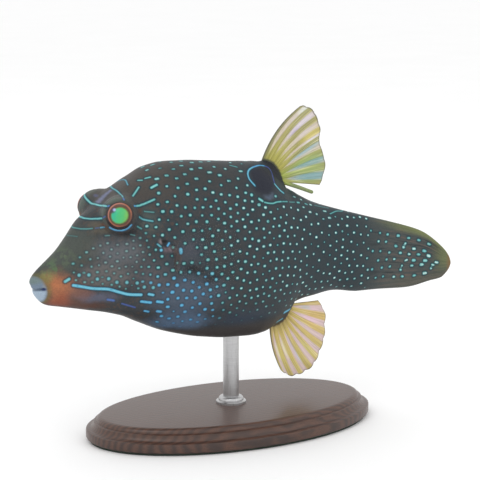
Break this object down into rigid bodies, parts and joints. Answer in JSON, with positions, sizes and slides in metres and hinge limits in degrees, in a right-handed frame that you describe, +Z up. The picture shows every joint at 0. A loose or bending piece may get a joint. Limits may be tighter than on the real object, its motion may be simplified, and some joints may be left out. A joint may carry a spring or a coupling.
{
  "type": "spotted pufferfish model",
  "caption": "Life-size still model of a swimming spotted toby pufferfish, dark with turquoise spots and yellow fins, on an oval display stand.",
  "frame": {"origin": "middle of the model's box in plan, on the underside of the stand's board", "axes": "+X along the fish from snout to tail, so that it swims towards -X; -Y its left side; +Z up"},
  "size_m": [0.09, 0.034, 0.0605],
  "materials": {
    "skin": "satin fish skin, dark grey-brown with turquoise spots and lines",
    "lip": "satin, pale blue-grey flesh",
    "tail_fin": "satin, dark olive fin with turquoise spots and a yellow-green edge",
    "eye": "glossy, green pupil in an orange ring",
    "median_fin": "satin, olive-yellow rays with pale pink and blue-grey webs",
    "clear_fin": "almost clear webs with fine pale rays",
    "board": "dark stained, satin lacquer",
    "rod": "brushed"
  },
  "bodies": {
    "root": {"lip_upper": "lip", "lip_lower": "lip", "snout": "skin", "head": "skin", "trunk": "skin", "tail_stem": "skin", "tail_fin": "tail_fin", "eye_left": "eye", "eye_right": "eye", "dorsal_fin": "median_fin", "dorsal_last_ray": "median_fin", "anal_fin": "median_fin", "pectoral_fin_left": "clear_fin", "pectoral_fin_right": "clear_fin", "stand_base": "board", "stand_rod": "rod"}
  },
  "joints": []
}
